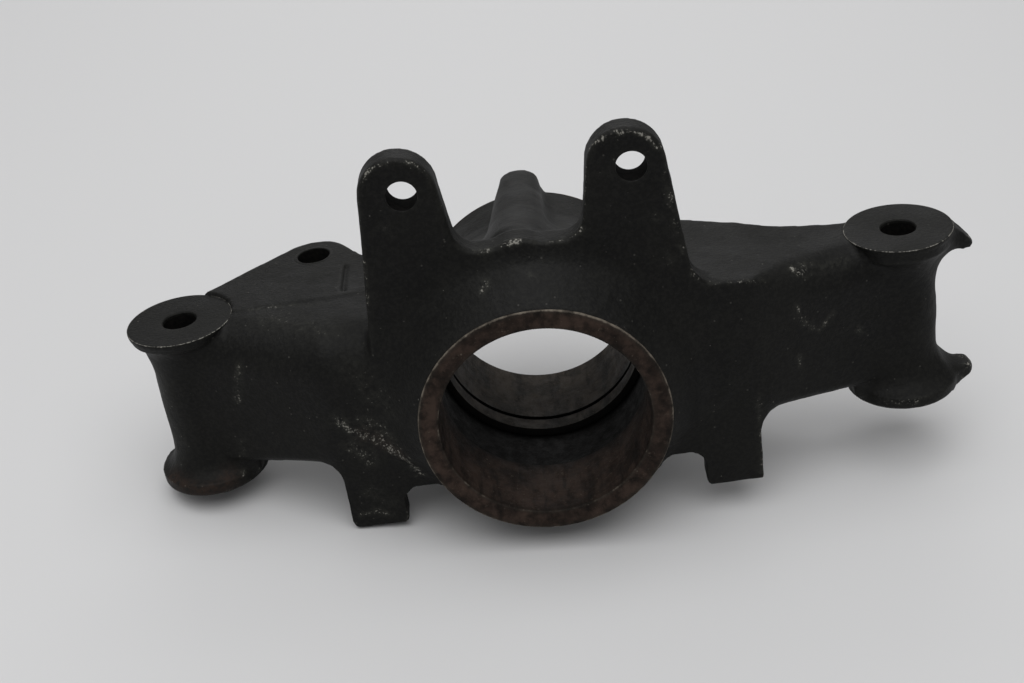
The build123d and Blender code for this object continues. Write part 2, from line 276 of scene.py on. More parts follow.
points = relax(points, np.ones(len(points)), THERE_AND_BACK * 5)

cast_mask = machined_mask(points)
facing_front = ramp(-point_normals(casting.data, points)[:, 1], *FACING_FRONT)
by_the_bend = 1 - ramp(np.abs(np.abs(points[:, 0]) - ARM_BEND), *BEND_REACH)
bend_mask = facing_front * by_the_bend * cast_mask
for step in range(BEND_STEPS):
    points[:, 1] += 0.5 * bend_mask * pull(points, edges, meeting)[:, 1]
print("softened", (cast_mask > 0.5).mean().round(3), "of the points are cast skin")

# %% [markdown]
# ## Hollow corners
#
# A pattern maker puts wax or putty into each inner corner, so that the sand holds and the iron does not
# crack there.  A Bevel modifier finds no clean edge to work on in this net.  Instead, only the points that
# their neighbours pull outwards move, and those are the points in a hollow: the corner fills by itself and
# the edges beside it stay.

# %% Fill the corners of the webs
# How far from the boss's axis, how far past it on the outer side, and how far below the middle.
WEB_REACH, WEB_OUTER_SIDE = (24, 30), (-1, 4)
WEB_TOP, WEB_FOOT = (9, 13), (27.5, 29.5)
WEB_STEPS = 150


def fill_hollows(points, mask, steps, refresh=10, low=0.004, high=0.02):
    """Each step: point + 0.5 * ramp(pull along the normal, from low to high) * mask * pull.  The normals
    are taken anew after every so many steps."""
    for step in range(steps):
        if step % refresh == 0:
            normals = point_normals(casting.data, points)
        move = pull(points, edges, meeting)
        hollow = ramp((move * normals).sum(axis=1), low, high)
        points = points + (0.5 * hollow * mask)[:, None] * move
    return points


web_mask = np.zeros(len(points))
for boss in BOSSES:
    near = 1 - ramp(from_axis(points, boss, (0, 1)), *WEB_REACH)
    hub_side = 1 - ramp(np.abs(points[:, 0]) - abs(boss[0]), *WEB_OUTER_SIDE)
    low_down = ramp(-points[:, 2], *WEB_TOP) * (1 - ramp(-points[:, 2], *WEB_FOOT))
    web_mask = np.maximum(web_mask, near * hub_side * low_down)
points = fill_hollows(points, web_mask * cast_mask, WEB_STEPS)
print("web corners filled at", int((web_mask > 0.5).sum()), "points")

# %% [markdown]
# ## Rib on the barrel
#
# The rib along the top of the barrel comes out of the sand fuller than it is drawn.  Proportional editing
# would widen it by hand; here the points on it move away from its middle in proportion to how far they are
# from it, and up, and then the two corners at its feet are filled.

# %% Fuller rib
RIB_MIDDLE = 1.0
RIB_WIDER, RIB_SHIFT, RIB_RISE = 0.22, 0.6, 0.8
# Each pair is where a soft step starts and ends, in millimetres.
RIB_FRONT, RIB_ROOT, RIB_SIDES, RIB_CREST = (22, 30), (45, 49.5), (14, 22), (5, 12)
FEET_FRONT, FEET_ROOT, FEET_SIDES = (24, 32), (40, 46), (28, 36)
FEET_STEPS = 90

off_middle = points[:, 0] - RIB_MIDDLE
on_rib = ramp(points[:, 1], *RIB_FRONT) * ramp(points[:, 2], *RIB_ROOT)
on_rib = on_rib * (1 - ramp(np.abs(off_middle), *RIB_SIDES)) * cast_mask
points[:, 0] += on_rib * (RIB_WIDER * off_middle - RIB_SHIFT)
points[:, 2] += on_rib * RIB_RISE * (1 - ramp(np.abs(off_middle), *RIB_CREST))

feet_mask = ramp(points[:, 1], *FEET_FRONT) * ramp(points[:, 2], *FEET_ROOT)
feet_mask = feet_mask * (1 - ramp(np.abs(off_middle), *FEET_SIDES)) * cast_mask
points = fill_hollows(points, feet_mask, FEET_STEPS)
print("rib", int((on_rib > 0.5).sum()), "points")

# %% [markdown]
# ## Waist of the right boss
#
# Each beak grows out of a flange and runs on to the waist in one round sweep.  The net still shows a step
# there.  Plain smoothing takes it away; it would also shrink the part, so it is kept to the waist and
# fades out before the flanges and the beaks' tips.

# %% Waist
WAIST_OUTER_SIDE, WAIST_REACH = (122, 127), (18, 22)
WAIST_MIDDLE, WAIST_ENDS = (3, 8), (24, 27)
WAIST_STEPS = 80

height_off_middle = np.abs(points[:, 2])
waist_mask = ramp(points[:, 0], *WAIST_OUTER_SIDE)
waist_mask = waist_mask * (1 - ramp(from_axis(points, BOSSES[1], (0, 1)), *WAIST_REACH))
waist_mask = waist_mask * ramp(height_off_middle, *WAIST_MIDDLE)
waist_mask = waist_mask * (1 - ramp(height_off_middle, *WAIST_ENDS)) * cast_mask
points = relax(points, waist_mask, (0.5,) * WAIST_STEPS)
print("waist", int((waist_mask > 0.5).sum()), "points")

# %% [markdown]
# ## The rest of the skin
#
# Every other inner corner of a casting has a small round of a millimetre or two as well.  The same filling
# runs once more over the whole cast skin, for fewer steps and only in the deeper hollows, and two last
# there-and-back steps take off what roughness it leaves.

# %% Small rounds everywhere
LAST_STEPS, LAST_REFRESH = 54, 9
LAST_LOW, LAST_HIGH = 0.006, 0.04

points = fill_hollows(points, cast_mask, LAST_STEPS, LAST_REFRESH, LAST_LOW, LAST_HIGH)
points = relax(points, cast_mask, (0.5, -0.5) * 2)
print("corners rounded")

# %% [markdown]
# ## Sand-cast skin
#
# The mould's sand leaves low lumps a few millimetres across.  A Displace modifier with a cloud texture
# would do, but the same smooth random height worked out with numpy keeps it off the machined places.  The
# short groove that the pattern left on top of the steering arm's pad is cut in the same height.

# %% Lumps
# Height in millimetres, size in millimetres, and seed of each layer of lumps.
LUMPS = ((0.17, 14.0, 3), (0.11, 5.0, 4), (0.06, 2.4, 5))
TABLE_LENGTH = 8192
CELL_PRIMES = (73856093, 19349663, 83492791)
RIM_RADIUS, RIM_FADE, RIM_BOTTOM, RIM_CALM = 18, (2.0, 4.0), (24, 27), 0.8
GROOVE_ENDS = ((-66.8, 72.4, 33.0), (-66.7, 52.9, 33.0))
GROOVE_WIDTH, GROOVE_DEPTH = 0.8, 1.3
SKIN_ALLOWANCE = 0.12


def lumps(points, size, seed):
    """Smooth random height: random numbers on a cube lattice of that size, blended along each axis with
    3t^2 - 2t^3."""
    table = np.random.default_rng(seed).uniform(-1, 1, TABLE_LENGTH)
    cell = points / size
    corner = np.floor(cell).astype(np.int64)
    t = cell - corner
    t = t * t * (3 - 2 * t)
    height = np.zeros(len(points))
    for offset in itertools.product((0, 1), repeat=3):
        key = (corner + offset) @ np.array(CELL_PRIMES)
        weight = np.prod(np.where(np.array(offset) == 1, t, 1 - t), axis=1)
        height += weight * table[key % TABLE_LENGTH]
    return height


def from_line(points, start, end):
    """Distance of each point from the straight stretch between two places."""
    start, along = np.array(start, dtype=float), np.subtract(end, start, dtype=float)
    share = np.clip((points - start) @ along / (along @ along), 0, 1)
    return np.linalg.norm(points - start - share[:, None] * along, axis=1)


normals = point_normals(casting.data, points)
height = sum(amount * lumps(points, size, seed) for amount, size, seed in LUMPS)
for boss in BOSSES:
    rim = 1 - ramp(np.abs(from_axis(points, boss, (0, 1)) - RIM_RADIUS), *RIM_FADE)
    height = height * (1 - RIM_CALM * rim * ramp(points[:, 2], *RIM_BOTTOM))
groove = np.exp(-(from_line(points, *GROOVE_ENDS) / GROOVE_WIDTH) ** 2)
height = height - GROOVE_DEPTH * groove
points = points + (height * cast_mask - SKIN_ALLOWANCE)[:, None] * normals
print("lumps from", height.min().round(2), "to", height.max().round(2))

# %% [markdown]
# ## Edges that catch wear
#
# Paint wears first where the casting bends outwards.  Cycles has a pointiness value for this, but it is
# lost on the way to other programs, so the bend is measured on the net: how far the neighbours pull a
# point inwards, blurred a little, and kept as a number on each point for the paint to read.

# %% Edge wear
BLUR_STEPS = 6
WEAR_BEND = (0.012, 0.07)


def store_amount(mesh, name, amount):
    """Keep one number for each point of the mesh under that name."""
    kept = mesh.attributes.get(name) or mesh.attributes.new(name, "FLOAT", "POINT")
    kept.data.foreach_set("value", amount)


bend = -(pull(points, edges, meeting) * normals).sum(axis=1)
for step in range(BLUR_STEPS):
    bend = bend + 0.5 * neighbour_total(bend, edges) / meeting - 0.5 * bend
store_amount(casting.data, "edge", ramp(bend, *WEAR_BEND))
print("bend", np.percentile(bend, (50, 90, 97, 99)).round(3))

# %% [markdown]
# ## Room for the linings
#
# The machined faces will be separate thin linings.  Where two surfaces lie at the same height they flicker
# in a render, so the cast skin is held a fraction of a millimetre under each lining.  A Boolean would cut
# the net; moving its points straight out from each axis keeps it whole.

# %% Hold the skin under the linings
SKIN_IN_BORE = 39.2
SKIN_IN_RING, RING_FACES = 42.9, (0.45, 93.6)
SKIN_IN_BOLT_HOLE = 7.2
SKIN_ON_BOSS_END, BOSS_ENDS = 18.9, (-31.0, 31.4)
SKIN_IN_EYE = 6.9
SKIN_IN_EAR_HOLE = 6.2
INSIDE_BOX = 0.02


def held_out(a, b, centre, radius, among=True):
    """Two coordinates moved straight out from centre to that radius, where they are nearer than it."""
    off_a, off_b = a - centre[0], b - centre[1]
    away = np.maximum(np.hypot(off_a, off_b), 1e-6)
    inside = (away < radius) & among
    moved_a, moved_b = centre[0] + off_a * radius / away, centre[1] + off_b * radius / away
    return np.where(inside, moved_a, a), np.where(inside, moved_b, b)


def clear_of_linings(points):
    """Keep the cast skin a little under every machined face, so that the linings cover it."""
    x, y, z = points.T.copy()
    from_bore = np.maximum(np.hypot(x, z), 1e-6)
    stretch = np.where(from_bore < SKIN_IN_BORE, SKIN_IN_BORE / from_bore, 1.0)
    x, z = x * stretch, z * stretch
    y = np.where(np.hypot(x, z) < SKIN_IN_RING, np.clip(y, *RING_FACES), y)
    for boss in BOSSES:
        x, y = held_out(x, y, boss, SKIN_IN_BOLT_HOLE)
        on_end = np.hypot(x - boss[0], y - boss[1]) < SKIN_ON_BOSS_END
        z = np.where(on_end, np.clip(z, *BOSS_ENDS), z)
    x, y = held_out(x, y, STEERING_EYE, SKIN_IN_EYE)
    for hole in EAR_HOLES:
        x, z = held_out(x, z, hole, SKIN_IN_EAR_HOLE, y < EAR_BACK)
    return np.stack((x, y, z), axis=1)


def shade_smooth(mesh):
    """Smooth shading on every face."""
    mesh.polygons.foreach_set("use_smooth", np.ones(len(mesh.polygons), dtype=bool))


points = clear_of_linings(points)
low, high = np.array(solid_box) / MM
points = np.clip(points, low + INSIDE_BOX, high - INSIDE_BOX)
put_points(casting.data, points)
shade_smooth(casting.data)
print("cast skin from", points.min(axis=0).round(2), "to", points.max(axis=0).round(2))

# %% [markdown]
# ## Fewer triangles where it is flat
#
# The net has the same small squares on a flat arm as on a tight corner.  A remesh with larger squares
# would lose the corners, so a Decimate modifier collapses edges where the surface is flattest, and the
# detail stays where the shape turns.

# %% Thin out the net
TRIANGLES = 190000


def thin_out(thing, triangles):
    """Collapse the shortest edges of flat places until about that many triangles are left."""
    fewer = thing.modifiers.new("fewer", "DECIMATE")
    fewer.ratio = triangles / (2 * len(thing.data.polygons))
    graph = bpy.context.evaluated_depsgraph_get()
    mesh = bpy.data.meshes.new_from_object(thing.evaluated_get(graph))
    thing.modifiers.clear()
    thing.data = mesh


thin_out(casting, TRIANGLES)
shade_smooth(casting.data)
points = net_arrays(casting.data)[0]
print("casting", len(casting.data.polygons), "faces")

# %% [markdown]
# ## Where it has been knocked
#
# Paint is lost along the edges and in short rubs.  Each rub is a line of places on the surface; how much
# paint is gone fades with the distance from it.  The amount is stored on the points, and the material
# breaks it up into flecks, which keeps every rub ragged without painting an image.

# %% Rubs
# Each row is a name, a width in millimetres, a strength, and the places that the rub runs through.
RUBS = (
    ("left arm by the boss", 1.6, 0.7, ((-104, 30, 20), (-106, 30, 13), (-108, 31, 6))),
    ("left boss foot", 1.8, 0.6, ((-110, 31, -12), (-112, 32, -19), (-113, 33, -26))),
    ("crest of the facet", 2.3, 1.0, (
        (-72, 15, 2), (-66, 15, -4), (-58, 15, -9), (-50, 13, -16), (-47, 16, -24))),
    ("above the crest", 4.0, 0.6, ((-62, 15, -1), (-58, 15, -4), (-54, 14, -10), (-50, 12, -14))),
    ("on the facet", 3.2, 0.7, ((-69, 16, -10), (-66, 16, -12), (-63, 16, -16))),
    ("left foot spots", 2.2, 0.5, ((-59, 16, -36), (-63, 16, -31), (-67, 16, -29))),
    ("left foot low edge", 1.2, 0.7, ((-71, 16, -39), (-66, 16, -38), (-60, 16, -40))),
    ("left foot inner edge", 1.2, 0.5, ((-54, 23, -38), (-54.6, 16, -42.5))),
    ("left ear crown", 0.8, 0.7, (
        (-47, 15, 90), (-45, 16, 92), (-42, 15, 94), (-34, 15, 94), (-30, 15, 93), (-28, 15, 90))),
    ("left ear side", 0.8, 0.4, ((-49, 15, 86), (-50, 16, 79), (-51, 16, 70))),
    ("left ear low side", 1.1, 0.7, ((-51.9, 15, 61), (-52.8, 15, 53.3), (-53.8, 15, 46))),
    ("left waist", 7.0, 0.3, ((-137, 38, 12), (-138, 38, 0), (-137, 37, -12))),
    ("left ear spots", 1.2, 0.6, ((-44, 15, 72), (-41, 15, 69), (-42, 15, 73))),
    ("left ear root", 1.4, 0.6, ((-53, 15, 47), (-54, 16, 45))),
    ("saddle left", 1.5, 0.8, ((-15, 16, 59), (-11, 16, 59.5), (-6, 15.7, 60.5), (-1, 15.5, 61))),
    ("saddle right", 1.5, 0.8, ((9, 15.5, 60), (15, 15.5, 60.3), (20, 15.5, 62.5))),
    ("right ear crown", 0.8, 0.8, (
        (26, 17, 89), (28, 16, 92), (33, 15, 94), (39, 15, 94), (44, 15, 92), (47, 15, 87))),
    ("right ear inner side", 0.9, 0.5, ((24, 16, 86), (23, 16, 78), (22, 16, 71))),
    ("right ear outer side", 0.9, 0.5, (
        (48, 15, 79), (49, 15, 72), (50, 15, 63), (51, 15, 54), (52, 15, 47))),
    ("right ear spots", 1.3, 0.6, ((43, 15, 64), (45, 15, 63))),
    ("right ear root", 1.2, 0.4, ((48, 15, 46), (47, 15, 50))),
    ("right shoulder", 1.0, 0.4, (
        (54, 15, 42), (57, 15, 38), (61, 16, 36), (67, 16, 36), (73, 16, 35), (80, 20, 33))),
    ("star on the right arm", 1.7, 1.2, ((89, 27, 32), (91, 27, 30), (94, 28, 30))),
    ("hook on the right arm", 1.2, 0.8, (
        (89, 22, 20), (89.6, 22.4, 17), (91, 23, 14), (94, 24, 10), (97, 26, 8), (100, 27, 10), (102, 28, 12))),
    ("right arm spots", 1.2, 0.8, ((110, 31, 4), (112, 32, 1.5))),
    ("right arm low", 1.2, 0.6, ((89, 22, 0.5), (89, 22, -3.6))),
    ("right arm upper edge", 2.0, 0.5, ((92, 30, 32), (99, 30, 29), (108, 35, 28))),
    ("flare left", 1.4, 1.1, ((-15, 9, 48), (-13.4, 10.7, 50))),
    ("flare top", 1.0, 0.7, ((0.6, 10.6, 51.5), (2.4, 9, 50))),
    ("right foot outer edge", 1.0, 0.6, ((73.7, 16, -10), (73, 16, -24), (72.4, 16, -42))),
    ("upper beak", 1.5, 0.7, ((153, 48, 25), (153.5, 47, 26))),
    ("lower beak", 1.3, 0.8, ((149, 51, -25), (153, 49, -25), (153, 44, -26), (150, 43, -30))),
    ("right flange low", 1.2, 0.6, ((120, 30, -28), (126, 28, -28), (131, 28, -28))),
    ("pad front edge", 1.0, 0.7, ((-103, 48, 33), (-95, 47, 33), (-87, 47, 33), (-74, 45, 33))),
    ("left arm top", 4.5, 0.35, ((-95, 40, 32), (-86, 35, 32), (-77, 30, 32), (-70, 26, 32))),
    ("left of the hub", 5.0, 0.35, ((-62, 16, 20), (-58, 15, 12), (-53, 12, 5))),
)
RUST = (
    ("left lower flange", 3.5, 1.0, (
        (-141, 37, -26), (-136, 31, -27), (-129, 28, -29), (-122, 28, -28), (-118, 31, -26))),
    ("under the left flange", 2.5, 0.6, ((-137, 33, -31), (-125.6, 29, -31), (-116, 33, -31))),
    ("crest stain", 3.0, 0.5, ((-64, 15, -5), (-52, 13, -13))),
    ("foot of the hub", 3.0, 0.5, ((-30, 1, -33), (0, 1, -45), (30, 1, -33))),
)
print("rubs", len(RUBS), "rust stains", len(RUST))


# %% [markdown]
# ## Laying the marks on
#
# A rub is strongest along its middle and thins out to nothing.  Vertex paint would give that by hand; the
# distance from each point to the rub's line gives it as a smooth bell, and where two marks meet the
# stronger one counts.

# %% Marks on the points
def rubbed(points, marks):
    """Amount at each point: strength * exp(-(distance / width)^2) from the nearest stretch of each mark."""
    amount = np.zeros(len(points))
    for name, width, strength, places in marks:
        for start, end in zip(places[:-1], places[1:]):
            away = from_line(points, start, end)
            amount = np.maximum(amount, strength * np.exp(-(away / width) ** 2))
    return amount


store_amount(casting.data, "scuff", rubbed(points, RUBS))
store_amount(casting.data, "rust", rubbed(points, RUST))
print("marks kept as", [kept.name for kept in casting.data.attributes if kept.name in ("edge", "scuff", "rust")])

# %% [markdown]
# ## Turned surfaces
#
# Machined places are turned on a lathe or drilled, so each is a closed profile swept round its axis.  A
# Screw modifier would do it, but written as numbers each ring of the profile can also carry how worn and
# how rusty it is.

# %% Turning a profile
CREASE_ANGLE = np.radians(25)


def turned(name, profile, centre, axis, steps=128, amounts=("edge", "scuff", "rust")):
    """Closed profile in millimetres, turned about an axis along 'Y' or 'Z'.  Each row is a radius, a height
    and up to three amounts kept on the points.  Point = centre + radius * (cos a, sin a) across the axis
    + height along it."""
    table = np.array([(list(row) + [0, 0, 0])[:5] for row in profile], dtype=float)
    radius, height = table[:, 0], table[:, 1]
    angle = np.linspace(0, 2 * np.pi, steps, endpoint=False)
    across = np.outer(radius, np.cos(angle))
    other = np.outer(radius, np.sin(angle))
    along = np.repeat(height[:, None], steps, axis=1)
    grid = np.stack((across, along, other) if axis == "Y" else (across, other, along), axis=2)
    grid = grid + np.array(centre)

    count = len(table)
    row, column = np.meshgrid(np.arange(count), np.arange(steps), indexing="ij")
    next_row, next_column = (row + 1) % count, (column + 1) % steps
    faces = np.stack((
        row * steps + column, row * steps + next_column,
        next_row * steps + next_column, next_row * steps + column,
    ), axis=2).reshape(-1, 4)
    mesh = bpy.data.meshes.new(name)
    mesh.from_pydata((grid.reshape(-1, 3) * MM).tolist(), [], faces.tolist())

    shell = bmesh.new()
    shell.from_mesh(mesh)
    bmesh.ops.recalc_face_normals(shell, faces=shell.faces)
    shell.to_mesh(mesh)
    shell.free()
    shade_smooth(mesh)
    mesh.set_sharp_from_angle(angle=CREASE_ANGLE)
    for column_number, amount in enumerate(amounts):
        store_amount(mesh, amount, np.repeat(table[:, 2 + column_number], steps))
    made = bpy.data.objects.new(name, mesh)
    bpy.context.scene.collection.objects.link(made)
    print(name, len(mesh.polygons), "faces")
    return made


# %% [markdown]
# ## Hub lining
#
# One tool path cut the whole bore: the ring at the mouth, the near seat, a wider relief, the far seat with
# its snap-ring groove, and the far rim.  Cylinders joined with Booleans would need cleaning up, so the path
# is one closed profile, and its last rows run back inside the wall.

# %% Hub lining
# Rows are radius, height along the bore, then edge, scuff and rust.
HUB_PROFILE = (
    (43.05, 1.9, 0.2, 0, 0.6), (43.0, 0.7, 0.9, 0.6, 0.5), (42.85, 0.3, 1.0, 0.9, 0.3),
    (42.55, 0.06, 0.7, 0.5, 0.4), (42.1, 0.0, 0.2, 0.3, 0.5), (41.0, 0.0, 0.0, 0.0, 0.9),
    (39.5, 0.0, 0.0, 0.0, 0.9), (37.6, 0.0, 0.0, 0.0, 0.9), (36.7, 0.0, 0.1, 0.2, 0.6),
    (36.4, 0.08, 0.5, 0.4, 0.4), (36.1, 0.35, 0.6, 0.4, 0.3), (36.0, 0.7, 0.1, 0.1, 0.5),
    (36.0, 2.5, 0, 0, 0.7), (36.0, 12.0, 0, 0, 0.85), (36.0, 24.0, 0, 0, 0.8),
    # Rows with no scuff and no rust take the near-black base colour: in the relief (38.3), at its far step and
    # in the snap-ring groove (37.6) that near-black is painted shade of the recess.
    (36.0, 28.0, 0, 0, 0.4), (36.0, 29.0, 0.1, 0, 0.2), (38.3, 30.0, 0, 0, 0),
    (38.3, 42.0, 0, 0, 0), (38.3, 52.7, 0, 0, 0), (36.1, 53.4, 0, 0.1, 0),
    (36.0, 53.6, 0.3, 0.8, 0.1), (36.0, 55.0, 0, 1.0, 0.2), (36.0, 59.4, 0, 1.0, 0.3),
    (36.0, 60.0, 0, 0, 0), (37.6, 60.0, 0, 0, 0), (37.6, 62.0, 0, 0, 0),
    (36.0, 62.0, 0, 0, 0), (36.0, 62.6, 0, 1.0, 0.3), (36.0, 70.0, 0, 1.0, 0.4),
    (36.0, 78.0, 0, 1.0, 0.3), (36.0, 86.0, 0, 1.0, 0.4), (36.0, 93.3, 0.5, 1.0, 0.2),
    (36.3, 93.8, 0.9, 1.0, 0), (36.8, 94.0, 0.2, 0.5, 0.4), (42.0, 94.0, 0, 0.4, 0.5),
    (42.8, 93.6, 0.9, 0.6, 0.3), (43.0, 92.8, 0.3, 0.3, 0.5), (42.6, 92.0), (40.4, 91.0),
    (39.8, 60.0), (39.8, 30.0), (40.4, 2.4),
)
hub_lining = turned("hub_lining", HUB_PROFILE, (0, 0, 0), "Y", steps=256)

# %% [markdown]
# ## Pivot boss linings
#
# Each boss was faced at both ends and drilled through for its bolt.  A facing cut leaves a crisp rim where
# the paint always goes first, so the profile has a few close rows there and the wear is written on them.

# %% Pivot boss linings
BOSS_PROFILE = (
    (17.6, 29.0), (18.35, 29.4), (18.62, 30.0), (18.78, 30.7, 0.1), (18.84, 31.2, 0.1, 0.0),
    (18.8, 31.55, 0.5, 0.4), (18.68, 31.72, 1.0, 1.0), (18.45, 31.8, 0.3, 0.2), (17.9, 31.8, 0.1),
    (12.0, 31.8), (6.9, 31.8, 0.1), (6.4, 31.7, 0.4), (6.1, 31.3, 0.3), (6.0, 30.4), (6.0, 0.0),
    (6.0, -30.8), (6.25, -31.2), (6.7, -31.4), (18.3, -31.4), (18.6, -31.2), (18.3, -30.4),
    (9.0, -29.8), (8.0, -28.0), (8.0, 28.0), (9.0, 28.6), (16.6, 28.6),
)
left_boss_lining, right_boss_lining = (
    turned(name, BOSS_PROFILE, (*boss, 0), "Z")
    for name, boss in zip(("left_boss_lining", "right_boss_lining"), BOSSES)
)

# %% [markdown]
# ## Drilled holes
#
# The steering eye and the two ear holes are plain drilled holes with the burr taken off.  A tube would end
# in a sharp step, so each lining turns out over the rim of its hole as a small chamfer and ends under the
# cast skin.

# %% Drilled hole linings
EYE_RADIUS, EYE_ENDS = 6.0, (15.0, 33.0)
EAR_HOLE_RADIUS, EAR_FACES = 5.15, (15.0, 25.0)


def hole_lining(name, radius, ends, centre, axis):
    """The wall of a drilled hole with a small chamfer at each end."""
    low, high = ends
    return turned(name, (
        (radius + 1.9, high - 0.3), (radius + 1.2, high - 0.02), (radius + 0.3, high + 0.02, 0.2),
        (radius + 0.08, high - 0.12, 0.3), (radius, high - 0.4), (radius, low + 0.4),
        (radius + 0.08, low + 0.12, 0.3), (radius + 0.3, low - 0.02, 0.2), (radius + 1.2, low + 0.02),
        (radius + 1.9, low + 0.3), (radius + 1.9, (low + high) / 2),
    ), centre, axis, steps=72)


eye_lining = hole_lining("steering_eye_lining", EYE_RADIUS, EYE_ENDS, (*STEERING_EYE, 0), "Z")
ear_linings = [
    hole_lining(name, EAR_HOLE_RADIUS, EAR_FACES, (hole[0], 0, hole[1]), "Y")
    for name, hole in zip(("left_ear_lining", "right_ear_lining"), EAR_HOLES)
]

# %% [markdown]
# ## Materials
#
# Every finish on the part, paint, rust or bare iron, is a base colour built up in layers.  The nodes could
# be laid out by hand in the shader editor; typed out one by one they are long, so small helpers each add
# one node and hand back its output.  Object coordinates keep the grain the same size on every piece.

# %% Node helpers
def node(tree, kind, **settings):
    """A shader node of that kind, with its sockets (by name) and other properties set."""
    made = tree.nodes.new(kind)
    for key, value in settings.items():
        if key in made.inputs:
            made.inputs[key].default_value = value
        else:
            setattr(made, key, value)
    return made


def new_material(name):
    """An empty node material and its principled shader."""
    made = bpy.data.materials.new(name)
    made.use_nodes = True
    return made, made.node_tree, made.node_tree.nodes["Principled BSDF"]


def own_place(tree):
    """Object coordinates."""
    return node(tree, "ShaderNodeTexCoord").outputs["Object"]


def amount_of(tree, name):
    """A number kept on the points."""
    return node(tree, "ShaderNodeAttribute", attribute_name=name).outputs["Fac"]


# %% [markdown]
# ## Shares and layers
#
# Wear is never all or nothing: a layer covers the one below by a share between 0 and 1.  A Color Ramp could
# shape that share, but a Map Range says its two ends in plain numbers.  Math nodes join shares, and a Mix
# node lays one colour over another.

# %% Arithmetic on shares
def mapped(tree, value, low, high, to_low=0.0, to_high=1.0):
    """Value from low..high carried over to to_low..to_high and held at the ends."""
    made = node(tree, "ShaderNodeMapRange", interpolation_type="SMOOTHSTEP")
    for key, amount in (("From Min", low), ("From Max", high), ("To Min", to_low), ("To Max", to_high)):
        made.inputs[key].default_value = amount
    tree.links.new(value, made.inputs["Value"])
    return made.outputs["Result"]


def joined(tree, operation, first, second):
    """One sum, product or greatest of two values, each a socket or a number."""
    made = node(tree, "ShaderNodeMath", operation=operation)
    for place_number, value in enumerate((first, second)):
        if isinstance(value, (int, float)):
            made.inputs[place_number].default_value = value
        else:
            tree.links.new(value, made.inputs[place_number])
    return made.outputs[0]


def times(tree, first, second):
    """Product of two values."""
    return joined(tree, "MULTIPLY", first, second)


def weighed(tree, first, first_weight, second, second_weight):
    """Sum of two values, each times its weight."""
    return joined(tree, "ADD", times(tree, first, first_weight), times(tree, second, second_weight))


def blended(tree, share, first, second):
    """Colour between first and second by share; each colour is a socket or three numbers."""
    made = node(tree, "ShaderNodeMix", data_type="RGBA")
    tree.links.new(share, made.inputs[0])
    for place_number, colour in ((6, first), (7, second)):
        if isinstance(colour, tuple):
            made.inputs[place_number].default_value = (*colour, 1)
        else:
            tree.links.new(colour, made.inputs[place_number])
    return made.outputs[2]


# %% [markdown]
# ## Grain
#
# Sand leaves grain of every size, and flying grit leaves small round chips.  Noise gives the first, at so
# many features to the metre.  Voronoi cells give the second: a dot in the middle of a few cells picked by
# their random colour.  No image is needed, so the grain stays sharp at any distance.

# %% Noise, dots and the last links
def cloud(tree, where, scale, detail=4.0, roughness=0.6):
    """Noise of so many features to the metre."""
    made = node(tree, "ShaderNodeTexNoise", Scale=scale, Detail=detail, Roughness=roughness)
    tree.links.new(where, made.inputs["Vector"])
    return made.outputs["Fac"]


def dots(tree, where, scale, radius, share):
    """Small round dots, one in a few of the Voronoi cells."""
    cells = node(tree, "ShaderNodeTexVoronoi", Scale=scale)
    tree.links.new(where, cells.inputs["Vector"])
    near = mapped(tree, cells.outputs["Distance"], radius * 0.6, radius, 1.0, 0.0)
    chosen = node(tree, "ShaderNodeSeparateColor")
    tree.links.new(cells.outputs["Color"], chosen.inputs["Color"])
    return times(tree, near, mapped(tree, chosen.outputs[0], 1 - share, 1 - share + 0.02))


def dressed(tree, shader, colour, rough, specular, height, strength, distance):
    """Link the colour and roughness, set the specular level, and bump the surface by a height."""
    tree.links.new(colour, shader.inputs["Base Color"])
    tree.links.new(rough, shader.inputs["Roughness"])
    shader.inputs["Specular IOR Level"].default_value = specular
    bump = node(tree, "ShaderNodeBump", Strength=strength, Distance=distance)
    tree.links.new(height, bump.inputs["Height"])
    tree.links.new(bump.outputs["Normal"], shader.inputs["Normal"])


# %% [markdown]
# ## Black paint
#
# Matt black paint lies over a sandy skin.  The colour is nearly flat, so what makes it read as iron is the
# fine bump, the grey dust and flecks of bare metal where it has been rubbed, and the brown where water has
# stood.  The noise decides where each fleck goes and the stored amounts decide how many there are.

# %% Black paint
BLACK_LOW, BLACK_HIGH = (0.0015, 0.0015, 0.0013), (0.0085, 0.0084, 0.0073)
DUST = (0.040, 0.040, 0.033)
RUST_BROWN = (0.022, 0.013, 0.009)
BARE = (0.20, 0.193, 0.172)
PAINT_SPECULAR = 0.16

paint, tree, shader = new_material("black_paint")
where = own_place(tree)
patches = cloud(tree, where, 40.0, 5.0)
fine = cloud(tree, where, 1300.0, 3.0, 0.65)
ragged = cloud(tree, where, 420.0, 4.0, 0.7)
edge, scuff, rust = (amount_of(tree, name) for name in ("edge", "scuff", "rust"))

sand = weighed(tree, cloud(tree, where, 750.0, 3.0, 0.55), 0.6, fine, 0.4)
# Random patches give the paint's own tone; the sand height that bumps the surface also darkens the colour in its
# pits, which is painted shade in the grain.
tone_and_pit_shade = weighed(tree, mapped(tree, patches, 0.35, 0.68), 0.4, mapped(tree, sand, 0.42, 0.62), 0.6)
colour = blended(tree, tone_and_pit_shade, BLACK_LOW, BLACK_HIGH)

dusty = joined(tree, "MAXIMUM", scuff, times(tree, edge, 0.45))
dust_share = times(tree, times(tree, dusty, mapped(tree, ragged, 0.35, 0.7)), 0.8)
colour = blended(tree, dust_share, colour, DUST)
colour = blended(tree, times(tree, rust, mapped(tree, ragged, 0.30, 0.62)), colour, RUST_BROWN)

